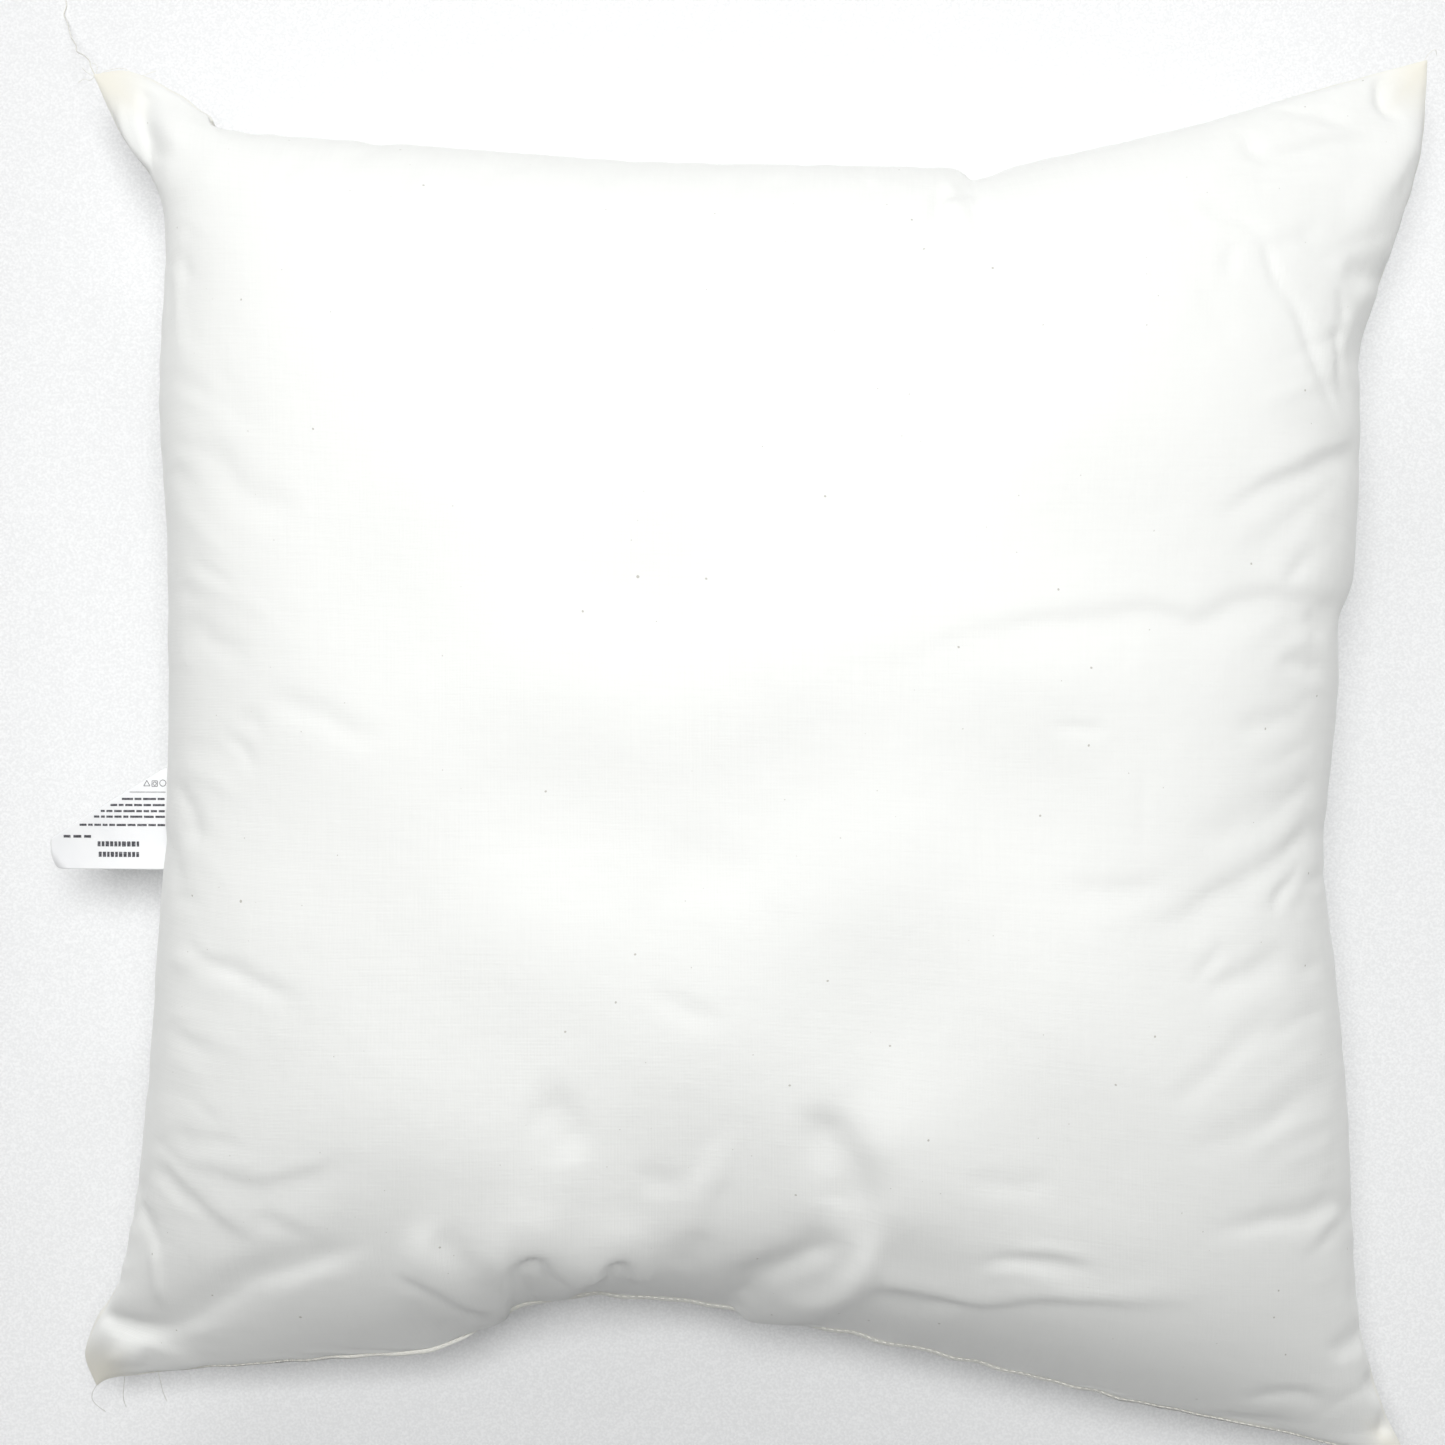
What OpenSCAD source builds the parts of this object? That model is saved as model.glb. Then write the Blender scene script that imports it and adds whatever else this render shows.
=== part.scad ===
// Square knife-edge bed pillow, lying on its back panel.
// +X to the right, +Y towards the head side, +Z up; the origin is on the surface that the pillow
// rests on, below the middle of its flat foot. Millimetres.

/* [Pillow] */
// Height of the middle of the top panel above the resting surface
loft = 195; // [160:1:220]
// Height of the seam at the middle of each side
seam_height = 92; // [80:1:105]
// How far the bottom dome would drop below the seam if the surface did not stop it
bottom_drop = 118; // [112:1:140]
// How boxy the sides are: 2 is an ellipse, more is squarer
roundness = 2.5; // [2.1:0.1:3]
// Thickness of the ticking
cloth_t = 0.6; // [0.4:0.1:0.8]

/* [Corners] */
// Height of the head left ear's tip
head_left_z = 62; // [40:1:85]
// Height of the head right ear's tip
head_right_z = 80; // [40:1:85]
// Height of the foot right ear's tip
foot_right_z = 66; // [40:1:85]
// Height of the foot left ear's tip
foot_left_z = 38; // [25:1:85]

/* [Closing seam] */
// Width of the folded lip outside the pillow
lip_w = 4; // [2:0.5:6]

/* [Threads] */
// Diameter of the seam thread
seam_thread_d = 0.6; // [0.4:0.1:0.6]
// Diameter of the loose thread end
tail_d = 0.5; // [0.4:0.1:0.6]

/* [Care label] */
// Width of the ribbon, measured along the seam
label_w = 42; // [30:1:45]
// How far the folded ribbon stands out of the seam
label_len = 51; // [35:1:55]
// Thickness of the two ribbon layers together
label_t = 0.5; // [0.4:0.1:0.8]
// How far the label droops from level, in degrees
label_droop = 8; // [0:1:20]

/* [Hidden] */

cloth_white = [0.95, 0.95, 0.94];
thread_white = [0.93, 0.92, 0.88];
ribbon_white = [0.97, 0.97, 0.97];

cells = 36;                  // grid cells across a panel each way
rise = loft - seam_height;   // top panel above its seam
slack = 0.15;                // half of the gap between the two panels at the seam
clear = 0.3;                 // gap between soft pieces
foot_trim = 0.2;             // how deep the foot is pressed before it is cut true
thread_inset = cloth_t + clear + seam_thread_d / 2;
fill_inset = thread_inset + seam_thread_d / 2 + clear;

// Plan of the seam, counter-clockwise, one list for each side; each starts at a corner and ends
// just before the next
foot_side = [
    [-282, -272], [-227, -254], [-168, -250], [-128, -246], [-98, -230], [-66, -224],
    [-30, -226], [6, -232], [86, -250], [156, -268], [225, -285]
];
right_side = [
    [277, -302], [262, -272], [250, -232], [245, -184], [242, -144], [236, -88],
    [231, -44], [237, 20], [237, 52], [243, 64], [247, 120], [247, 156], [253, 176],
    [266, 212], [276, 244]
];
head_side = [
    [280, 283], [226, 267], [175, 251], [106, 234], [92, 228], [82, 233], [41, 234],
    [-45, 236], [-130, 243], [-212, 250], [-240, 268]
];
left_side = [
    [-275, 281], [-256, 252], [-242, 228], [-239, 190], [-240, 140], [-236, 88],
    [-235, 20], [-236, -30], [-240, -84], [-244, -148], [-250, -200], [-262, -232]
];
outline = concat(foot_side, right_side, head_side, left_side);
right_start = len(foot_side);
head_start = right_start + len(right_side);
left_start = head_start + len(head_side);

// Middle of the label's root, on the left seam
label_root = [-238, -30, seam_height];

// Route of the loose thread end: off the ear's tip, down, and away over the resting surface
tail_route = [
    [-275.5, 281.5, 62], [-277, 285, 60], [-279, 289, 56], [-283, 293, 50], [-287, 296, 43],
    [-290, 299, 35], [-292, 303, 27], [-295, 307, 19], [-298, 311, 12], [-300, 315, 7],
    [-302, 320, 3], [-304, 324, 1], [-303, 328, 0.4], [-304, 332, 0.4], [-307, 335, 0.4],
    [-311, 337, 0.4], [-315, 337, 0.4], [-318, 335, 0.4]
];
tail_rings = 70;

// ---- curves ----

function running_length(p, i = 0, sums = [0]) =
    i + 1 == len(p) ? sums
    : running_length(p, i + 1, concat(sums, [sums[i] + norm(p[i + 1] - p[i])]));

function stretch(sums, s, i = 0) =
    i >= len(sums) - 2 || s < sums[i + 1] ? i : stretch(sums, s, i + 1);

function curve_through(a, b, c, d, t) =
    0.5 * (2 * b + (c - a) * t + (2 * a - 5 * b + 4 * c - d) * t * t
        + (3 * b - a - 3 * c + d) * t * t * t);

// The point at share f of the way along the smooth curve through the points p
function along(p, f) =
    let (
        sums = running_length(p),
        last = len(p) - 1,
        s = f * sums[last],
        i = stretch(sums, s),
        t = (s - sums[i]) / (sums[i + 1] - sums[i])
    )
    curve_through(p[max(i - 1, 0)], p[i], p[i + 1], p[min(i + 2, last)], t);

// The closed outline moved inwards by d, with mitred corners
function left_of(a, b) = [a.y - b.y, b.x - a.x] / norm(b - a);
function moved_in(ring, d) = [
    for (k = [0:len(ring) - 1])
        let (
            before = left_of(ring[(k + len(ring) - 1) % len(ring)], ring[k]),
            after = left_of(ring[k], ring[(k + 1) % len(ring)])
        )
        ring[k] + d * (before + after) / (1 + before * after)
];

// ---- the pillow's surface ----

// Grid positions, closer together near the seams where the cloth turns down
shares = [for (i = [0:cells]) (1 - cos(180 * i / cells)) / 2];
function side_line(ring, first, last) =
    let (side = [for (k = [first:last]) ring[k % len(ring)]])
    [for (f = shares) along(side, f)];
function reversed(list) = [for (k = [len(list) - 1:-1:0]) list[k]];

// The four sides of the outline moved in by d: foot and head run left to right, the others upwards
function seam_lines(d) =
    let (ring = moved_in(outline, d))
    [
        side_line(ring, 0, right_start),
        side_line(ring, right_start, head_start),
        reversed(side_line(ring, head_start, left_start)),
        reversed(side_line(ring, left_start, len(ring)))
    ];
cloth_lines = seam_lines(0);
lining_lines = seam_lines(cloth_t);
thread_lines = seam_lines(thread_inset);
fill_lines = seam_lines(fill_inset);

// Plan position of grid point i, j: a sheet stretched between the four sides
function plan(lines, i, j) =
    let (
        u = shares[i],
        v = shares[j],
        foot = lines[0],
        right = lines[1],
        head = lines[2],
        left = lines[3]
    )
    (1 - v) * foot[i] + v * head[i] + (1 - u) * left[j] + u * right[j]
    - (1 - u) * (1 - v) * foot[0] - u * (1 - v) * foot[cells]
    - (1 - u) * v * head[0] - u * v * head[cells];

// 1 at the tip of an ear, and 0 along the middle lines
ear_reach = [280, 285];
function ear_share(p) =
    pow(min(1, abs(p.x) / ear_reach.x), 3) * pow(min(1, abs(p.y) / ear_reach.y), 3);
function tip_height(p) =
    p.x < 0 ? (p.y < 0 ? foot_left_z : head_left_z) : (p.y < 0 ? foot_right_z : head_right_z);
// Height of the seam's surface over plan position p: level in the middle, lower at the ears
function seam_z(p) = seam_height + (tip_height(p) - seam_height) * ear_share(p);

// How full the pillow is at grid point i, j: 0 at the seam and 1 in the middle
function swell(f) = 1 - pow(abs(2 * f - 1), roundness);
function thin_ear(i, j) =
    1 - pow(abs(2 * shares[i] - 1), 3) * pow(abs(2 * shares[j] - 1), 3);
function fullness(i, j) =
    pow(max(swell(shares[i]) * swell(shares[j]), 0), 1 / roundness) * thin_ear(i, j);

function at_height(p, z) = [p.x, p.y, z];
function on_seam(p, lift = 0) = at_height(p, seam_z(p) + lift);
function top_point(lines, i, j, depth, gap) =
    on_seam(plan(lines, i, j), gap + (rise - depth) * fullness(i, j));
function bottom_point(lines, i, j, depth, gap) =
    let (hang = on_seam(plan(lines, i, j), -gap - (bottom_drop - depth) * fullness(i, j)))
    at_height(hang, max(depth > 0 ? depth : -foot_trim, hang.z));

// The closing lip stands out of the foot side, and runs out at both corners
function lip_at(i) = lip_w * (0.1 + 0.9 * sin(180 * i / cells));
function lip_point(i, z_shift) =
    let (
        ahead = cloth_lines[0][min(i + 1, cells)],
        behind = cloth_lines[0][max(i - 1, 0)]
    )
    at_height(
        cloth_lines[0][i] - lip_at(i) * left_of(behind, ahead),
        seam_z(cloth_lines[0][i]) + z_shift
    );

// ---- meshes on the grid ----

row = cells + 1;
function grid_cells(first, rows, flip) = [
    for (j = [0:rows - 2], i = [0:cells - 1])
        let (
            a = first + j * row + i,
            b = a + 1,
            c = b + row,
            d = a + row
        )
        each flip ? [[a, b, c], [a, c, d]] : [[a, c, b], [a, d, c]]
];
// Grid points round the edge, counter-clockwise from the foot left corner
function edge_ring(rows) = [
    for (i = [0:cells - 1]) i,
    for (j = [0:rows - 2]) j * row + cells,
    for (i = [cells:-1:1]) (rows - 1) * row + i,
    for (j = [rows - 1:-1:1]) j * row
];
function edge_band(upper, lower, rows) =
    let (ring = edge_ring(rows), n = len(ring))
    [
        for (k = [0:n - 1])
            let (
                a = lower + ring[k],
                b = lower + ring[(k + 1) % n],
                c = upper + ring[(k + 1) % n],
                d = upper + ring[k]
            )
            each [[a, c, b], [a, d, c]]
    ];

// A closed solid between an upper and a lower grid of points
module between(upper, lower) {
    rows = len(upper) / row;
    polyhedron(
        points = concat(upper, lower),
        faces = concat(
            grid_cells(0, rows, false),
            grid_cells(len(upper), rows, true),
            edge_band(0, len(upper), rows)
        )
    );
}

// A round thread through the points p, as one tube with closed ends
tube_sides = 8;
function ring_at(p, k, d) =
    let (
        dir = p[min(k + 1, len(p) - 1)] - p[max(k - 1, 0)],
        ref = abs(dir.z) > 0.8 * norm(dir) ? [1, 0, 0] : [0, 0, 1],
        side = cross(dir, ref) / norm(cross(dir, ref)),
        up = cross(side, dir) / norm(dir)
    )
    [
        for (s = [0:tube_sides - 1])
            p[k] + d / 2 * (cos(360 * s / tube_sides) * side + sin(360 * s / tube_sides) * up)
    ];
module thread(p, d) {
    n = len(p);
    polyhedron(
        points = [for (k = [0:n - 1]) each ring_at(p, k, d)],
        faces = [
            [for (s = [0:tube_sides - 1]) s],
            [for (s = [tube_sides - 1:-1:0]) (n - 1) * tube_sides + s],
            for (k = [0:n - 2], s = [0:tube_sides - 1])
                let (
                    a = k * tube_sides + s,
                    b = k * tube_sides + (s + 1) % tube_sides,
                    c = b + tube_sides,
                    e = a + tube_sides
                )
                each [[a, c, b], [a, e, c]]
        ]
    );
}

// ---- sub-parts ----

module top_panel() {
    upper = [
        for (i = [0:cells]) lip_point(i, slack + cloth_t),
        for (j = [0:cells], i = [0:cells]) top_point(cloth_lines, i, j, 0, slack + cloth_t)
    ];
    lower = [
        for (i = [0:cells]) lip_point(i, slack),
        for (j = [0:cells], i = [0:cells]) top_point(lining_lines, i, j, 0, slack)
    ];
    color(cloth_white) between(upper, lower);
}

// The foot is cut true at z = 0, where the pillow's weight presses it flat
module bottom_panel() {
    upper = [
        for (i = [0:cells]) lip_point(i, -slack),
        for (j = [0:cells], i = [0:cells]) bottom_point(lining_lines, i, j, cloth_t, slack)
    ];
    lower = [
        for (i = [0:cells]) lip_point(i, -slack - cloth_t),
        for (j = [0:cells], i = [0:cells]) bottom_point(cloth_lines, i, j, 0, slack + cloth_t)
    ];
    color(cloth_white)
        difference() {
            between(upper, lower);
            translate([-loft, -loft, -loft]) cube([2 * loft, 2 * loft, loft]);
        }
}

module fibre_fill() {
    color("white")
        between(
            [for (j = [0:cells], i = [0:cells]) top_point(fill_lines, i, j, fill_inset, slack)],
            [for (j = [0:cells], i = [0:cells]) bottom_point(fill_lines, i, j, fill_inset, slack)]
        );
}

// The three factory seams, turned inside; the thread stops short of the ears' tips
first_stitch = 4;
last_stitch = cells - first_stitch;
module side_thread(side) {
    color(thread_white)
        thread(
            [for (k = [first_stitch:last_stitch]) on_seam(thread_lines[side][k])],
            seam_thread_d
        );
}
module seam_thread_left() {
    side_thread(3);
}
module seam_thread_head() {
    side_thread(2);
}
module seam_thread_right() {
    side_thread(1);
}

// The topstitch that shuts the filling side lies on the closing lip
stitch_share = 0.4;            // of the lip's width, from the pillow outwards
module closing_seam_thread() {
    height = slack + cloth_t + clear + seam_thread_d / 2;
    color(thread_white)
        thread(
            [
                for (i = [first_stitch:last_stitch])
                    let (
                        near = on_seam(cloth_lines[0][i], height),
                        far = lip_point(i, height)
                    )
                    near + stitch_share * (far - near)
            ],
            seam_thread_d
        );
}

// The ribbon is folded double, and its head side corner is tucked under along a slanting crease
crease_drop = 0.22;            // of label_w, below the middle where the crease meets the far fold
fold_gap = 0.3;
crease_band = 0.8;             // width of the strip that joins the two plates at the crease
crease_start = [0, label_w / 2];
crease_end = [-label_len, -crease_drop * label_w];
corner = [-label_len, label_w / 2];
crease_dir = (crease_end - crease_start) / norm(crease_end - crease_start);
crease_foot = crease_start + ((corner - crease_start) * crease_dir) * crease_dir;
tucked_corner = 2 * crease_foot - corner;
module care_label() {
    inward = left_of(crease_start, crease_end);
    under = -label_t - fold_gap;
    color(ribbon_white)
        translate(label_root) rotate([0, -label_droop, 0]) {
            linear_extrude(label_t)
                polygon([
                    crease_start, crease_end, [-0.98 * label_len, -0.36 * label_w],
                    [-0.93 * label_len, -0.45 * label_w], [-0.84 * label_len, -label_w / 2],
                    [0, -label_w / 2]
                ]);
            translate([0, 0, under])
                linear_extrude(label_t)
                    polygon([crease_start + 2 * crease_dir, crease_end, tucked_corner]);
            translate([0, 0, under])
                linear_extrude(2 * label_t + fold_gap)
                    polygon([
                        crease_start + 2 * crease_dir, crease_end,
                        crease_end + crease_band * inward - 2 * crease_dir,
                        crease_start + crease_band * inward + 4 * crease_dir
                    ]);
        }
}

module thread_tail() {
    color(thread_white)
        thread([for (k = [0:tail_rings]) along(tail_route, k / tail_rings)], tail_d);
}

top_panel();
bottom_panel();
fibre_fill();
seam_thread_left();
seam_thread_head();
seam_thread_right();
closing_seam_thread();
care_label();
thread_tail();
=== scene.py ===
"""A square knife-edge bed pillow in white percale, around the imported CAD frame.

The two panels of ticking settle over the plump form as cloth. Then come the folds that this
pillow has, its rim and seams, the care label and the loose threads. Sizes are in metres where
a comment doesn't say millimetres.
"""

import math

import bpy
import numpy as np
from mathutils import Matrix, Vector


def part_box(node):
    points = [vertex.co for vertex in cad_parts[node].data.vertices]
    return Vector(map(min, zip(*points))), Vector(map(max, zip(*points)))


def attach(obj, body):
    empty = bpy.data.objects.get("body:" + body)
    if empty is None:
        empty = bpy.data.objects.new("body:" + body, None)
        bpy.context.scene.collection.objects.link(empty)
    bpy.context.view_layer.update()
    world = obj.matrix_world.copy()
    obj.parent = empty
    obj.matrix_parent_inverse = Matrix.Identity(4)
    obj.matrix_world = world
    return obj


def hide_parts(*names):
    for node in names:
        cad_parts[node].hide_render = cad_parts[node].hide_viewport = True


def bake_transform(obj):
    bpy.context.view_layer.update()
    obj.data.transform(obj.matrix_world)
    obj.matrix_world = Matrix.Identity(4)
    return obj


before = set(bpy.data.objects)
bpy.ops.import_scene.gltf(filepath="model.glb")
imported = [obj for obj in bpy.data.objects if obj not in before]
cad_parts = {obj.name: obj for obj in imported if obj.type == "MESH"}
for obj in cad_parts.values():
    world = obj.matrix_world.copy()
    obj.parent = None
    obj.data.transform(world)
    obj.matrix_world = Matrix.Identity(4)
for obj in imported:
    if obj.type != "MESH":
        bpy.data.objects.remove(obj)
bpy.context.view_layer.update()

# ---- sizes
MM = 0.001
CUT = 0.6                      # side of each square of ticking before sewing
SEAM_Z = 0.092                 # height of the seam at the middle of each side
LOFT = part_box("top_panel")[1][2]
RISE = LOFT - SEAM_Z
DROP = 0.118                   # how far the underside would hang below the seam
ROUND = 2.5                    # 2 is an elliptical side, more is squarer
FOOT_WALL = 0.036              # share of the depth over which the foot side leans outwards
FOOT_SLOPE = 0.25              # and over which the top's right half falls gently towards it
GRID = 288    # cells of cloth across a panel
EAR_REACH = (0.280, 0.285)     # of the ears' tips from the middle lines
TIP_Z = np.array([[0.046, 0.062], [0.066, 0.080]])    # left, right: each foot, then head
CENTRE = (-0.0113, 0.0092)     # the viewer looks straight down here
SEEN_LEVEL = 0.09              # the level that the view is measured at
VIEW_HEIGHT = 1.06             # of the viewer above that level
VIEW_WIDTH = 0.5925            # what the viewer sees of that level
RIM = 0.8 * MM                 # half the thickness of the sewn edge

# Plan of the seam, counter-clockwise, one list for each side; each starts at a corner and ends
# just before the next
FOOT_SIDE = [
    (-0.2765, -0.2715), (-0.267, -0.2665), (-0.230, -0.259), (-0.168, -0.251),
    (-0.128, -0.246), (-0.098, -0.230), (-0.066, -0.224), (-0.030, -0.226),
    (0.006, -0.232), (0.086, -0.250), (0.156, -0.268), (0.225, -0.285),
]
RIGHT_SIDE = [
    (0.277, -0.302), (0.262, -0.272), (0.250, -0.232), (0.245, -0.184), (0.242, -0.144),
    (0.236, -0.088), (0.231, -0.044), (0.237, 0.020), (0.237, 0.052), (0.243, 0.064),
    (0.247, 0.120), (0.247, 0.156), (0.253, 0.176), (0.266, 0.212), (0.276, 0.244),
]
HEAD_SIDE = [
    (0.280, 0.283), (0.226, 0.267), (0.175, 0.251), (0.106, 0.234), (0.092, 0.228),
    (0.082, 0.233), (0.041, 0.234), (-0.045, 0.236), (-0.130, 0.243), (-0.213, 0.252),
    (-0.224, 0.260), (-0.239, 0.271), (-0.259, 0.281),
]
LEFT_SIDE = [
    (-0.275, 0.281), (-0.260, 0.252), (-0.245, 0.231), (-0.239, 0.205), (-0.240, 0.140),
    (-0.236, 0.088), (-0.235, 0.020), (-0.236, -0.030), (-0.240, -0.084), (-0.246, -0.148),
    (-0.256, -0.203), (-0.264, -0.227), (-0.273, -0.240), (-0.280, -0.257),
]

# Route of the loose thread end: off the ear's tip, down, and away over the resting surface
TAIL_ROUTE = [
    (-0.2744, 0.2804, 0.0648), (-0.277, 0.285, 0.0625), (-0.279, 0.289, 0.057),
    (-0.283, 0.293, 0.050), (-0.287, 0.296, 0.043), (-0.290, 0.299, 0.035),
    (-0.292, 0.303, 0.027), (-0.295, 0.307, 0.019), (-0.298, 0.311, 0.012),
    (-0.300, 0.315, 0.007), (-0.302, 0.320, 0.003), (-0.304, 0.324, 0.001),
    (-0.303, 0.328, 0.0004), (-0.304, 0.332, 0.0004), (-0.307, 0.335, 0.0004),
    (-0.311, 0.337, 0.0004), (-0.315, 0.337, 0.0004), (-0.318, 0.335, 0.0004),
]
TAIL_D = 0.5 * MM


# ---- curves
def flat_grid(a, b):
    """The points (a, b) of a flat grid, row by row."""
    return np.stack(np.meshgrid(a, b, indexing="ij"), -1).reshape(-1, 2)


def running_length(p):
    """The length along the polyline p up to each of its points."""
    return np.r_[0, np.cumsum(np.linalg.norm(np.diff(p, axis=0), axis=1))]


def cubic(a, b, c, d, t):
    """The smooth curve through a, b, c and d, at the shares t of its stretch from b to c."""
    return 0.5 * (
        2 * b + (c - a) * t + (2 * a - 5 * b + 4 * c - d) * t**2 + (3 * b - a - 3 * c + d) * t**3
    )


def along(points, shares):
    """Points at the given shares of the length of the smooth curve through points."""
    p = np.array(points, float)
    sums = running_length(p)
    s = np.asarray(shares, float) * sums[-1]
    i = np.clip(np.searchsorted(sums, s, side="right") - 1, 0, len(p) - 2)
    t = ((s - sums[i]) / (sums[i + 1] - sums[i]))[:, None]
    return cubic(p[np.maximum(i - 1, 0)], p[i], p[i + 1], p[np.minimum(i + 2, len(p) - 1)], t)


def evenly(p, count):
    """count points at equal distances along the polyline p."""
    sums = running_length(p)
    want = np.linspace(0, sums[-1], count)
    return np.stack([np.interp(want, sums, p[:, k]) for k in range(p.shape[1])], -1)


def unit(v):
    """The vectors v at length 1."""
    return v / (np.linalg.norm(v, axis=-1, keepdims=True) + 1e-12)


def eased(t):
    """t held between 0 and 1, with a soft start and end."""
    t = np.clip(t, 0, 1)
    return t * t * (3 - 2 * t)


# ---- camera and cord
def add_object(name, data):
    """A new object in the scene."""
    obj = bpy.data.objects.new(name, data)
    bpy.context.collection.objects.link(obj)
    return obj


def add_camera():
    """The viewer, looking straight down."""
    data = bpy.data.cameras.new("camera")
    camera = add_object("camera", data)
    camera.location = (*CENTRE, SEEN_LEVEL + VIEW_HEIGHT)
    data.sensor_width = 36
    data.lens = data.sensor_width * VIEW_HEIGHT / VIEW_WIDTH
    bpy.context.scene.camera = camera


def add_tail():
    """The loose end of the seam's sewing thread."""
    line = along(TAIL_ROUTE, np.linspace(0, 1, 110))
    curve = bpy.data.curves.new("loose_thread", "CURVE")
    curve.dimensions = "3D"
    spline = curve.splines.new("POLY")
    spline.points.add(len(line) - 1)
    spline.points.foreach_set("co", np.c_[line, np.ones(len(line))].ravel())
    curve.bevel_depth = TAIL_D / 2
    curve.bevel_resolution = 3
    curve.use_fill_caps = True
    tail = add_object("loose_thread", curve)
    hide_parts("thread_tail")
    return tail


# ---- the plump form under the cloth
SCALLOPS = (0.22 * MM, 0.5 * MM)    # sizes of the seam's small waves, outwards and up


def wobble(shares, side):
    """The seam's small scallops along a side: outwards and up, nothing at the corners."""
    rng = np.random.default_rng(40 + side)
    out = np.zeros((2, len(shares)))
    for k in range(14):
        turns, phase, size = rng.uniform(9, 42), rng.uniform(0, 2 * math.pi), rng.uniform(0.4, 1)
        out[k % 2] += size * np.sin(2 * math.pi * turns * shares + phase)
    return out * np.array(SCALLOPS)[:, None] * np.sin(math.pi * shares) ** 0.5


def seam_sides(shares):
    """The foot, right, head and left lines: two from the left, and two from the foot."""
    sides = [FOOT_SIDE, RIGHT_SIDE, HEAD_SIDE, LEFT_SIDE]
    lines = []
    for side, points in enumerate(sides):
        line = along(points + sides[(side + 1) % 4][:1], shares)
        ahead = unit(np.gradient(line, axis=0))
        sway, lift = wobble(shares, side)
        line = line + sway[:, None] * np.stack([ahead[:, 1], -ahead[:, 0]], -1)
        line = np.c_[line, lift]
        lines.append(line if side < 2 else line[::-1])
    return lines


SIDES = seam_sides(np.linspace(0, 1, 2401))
TERMS = 24                     # sine terms of a side's shape that reach into the sheet


def side_shape(line):
    """A side's departure from its chord: its first sine terms, and what they leave over."""
    t = np.linspace(0, 1, len(line))
    off = line - line[0] - t[:, None] * (line[-1] - line[0])
    sines = np.sin(math.pi * np.outer(np.arange(1, TERMS + 1), t))
    amounts = 2 * (sines @ off) / (len(line) - 1)
    return amounts, off - sines.T @ amounts


SHAPES = [side_shape(line) for line in SIDES]


def sheet_plan(u, v):
    """Plan position and the seam's small lift at shares u, v of the sheet between the seams.

    A turn of the seam reaches about as far into the sheet as it is long.
    """
    foot, right, head, left = SIDES
    u1, v1 = u[..., None], v[..., None]
    out = (
        (1 - u1) * (1 - v1) * foot[0] + u1 * (1 - v1) * foot[-1]
        + (1 - u1) * v1 * head[0] + u1 * v1 * head[-1]
    )
    places = ((u, v), (v, 1 - u), (u, 1 - v), (v, u))
    fine = np.linspace(0, 1, len(foot))
    for (amounts, rest), (f, away) in zip(SHAPES, places):
        for k in range(1, TERMS + 1):
            reach = np.exp(-k * math.pi * away) - np.exp(-k * math.pi * (2 - away))
            reach /= 1 - math.exp(-2 * k * math.pi)
            out += amounts[k - 1] * (np.sin(k * math.pi * f) * reach)[..., None]
        near = np.exp(-TERMS * math.pi * away)
        out += np.stack([np.interp(f, fine, rest[:, c]) * near for c in range(3)], -1)
    return out


def ear_share(x, y):
    """1 at an ear's tip, and 0 along the middle lines."""
    a, b = (np.minimum(1, np.abs(c) / reach) for c, reach in zip((x, y), EAR_REACH))
    return a**3 * b**3


def seam_height(x, y):
    """The seam's level, or what it would be further in, over the place x, y."""
    tip = TIP_Z[(x >= 0).astype(int), (y >= 0).astype(int)]
    return SEAM_Z + (tip - SEAM_Z) * ear_share(x, y)


def form(u, v, top):
    """The plump form's surface at shares u, v."""
    a, b = np.abs(2 * u - 1), np.abs(2 * v - 1)
    full = np.clip((1 - a**ROUND) * (1 - b**ROUND), 0, 1) ** (1 / ROUND) * (1 - a**3 * b**3)
    plan = sheet_plan(u, v)
    x, y = plan[..., 0], plan[..., 1]
    seam = seam_height(x, y) + plan[..., 2] * (1 - full)
    if top:
        right = np.clip(2 * u - 0.8, 0, 1)
        lean = 0.9 * np.exp(-v / FOOT_WALL) + 0.1 * right * np.exp(-((v / FOOT_SLOPE) ** 2))
        wall = 1 - np.sin(math.pi * u) ** 0.5 * lean
        z = seam + RIM + (RISE - RIM) * full * wall
    else:
        z = np.maximum(seam - RIM - (DROP - RIM) * full, 0.0)
    return np.stack([x, y, z], -1)


def even_shares(n, top):
    """Shares at which n cells have equal lengths over the form's middle line."""
    u = (1 - np.cos(np.linspace(0, math.pi, 801))) / 2
    line = form(u, np.full_like(u, 0.5), top)
    sums = running_length(line)
    return np.interp(np.linspace(0, 1, n + 1), sums / sums[-1], u)


def form_grid(n, top):
    """The form at the cloth's own n by n grid: even along the seams and over the middle lines."""
    s = np.linspace(0, 1, n + 1)
    even = even_shares(n, top)
    S, T = np.meshgrid(s, s, indexing="ij")
    US, VT = np.meshgrid(even, even, indexing="ij")
    wu = 1 - np.abs(2 * T - 1) ** 4
    wv = 1 - np.abs(2 * S - 1) ** 4
    return form(S + (US - S) * wu, T + (VT - T) * wv, top)


# ---- cloth
def waves(n, seed, size, count=40):
    """Smooth seeded noise over the sheet, about -1 to 1, with waves about size long."""
    rng = np.random.default_rng(seed)
    s = np.linspace(0, CUT, n + 1)
    S, T = np.meshgrid(s, s, indexing="ij")
    out = np.zeros_like(S)
    for _ in range(count):
        turn, phase = rng.uniform(0, 2 * math.pi, 2)
        k = 2 * math.pi / (size * rng.uniform(0.7, 1.6))
        out += np.sin(k * (math.cos(turn) * S + math.sin(turn) * T) + phase)
    return out / math.sqrt(count / 2) / 1.6


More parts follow.
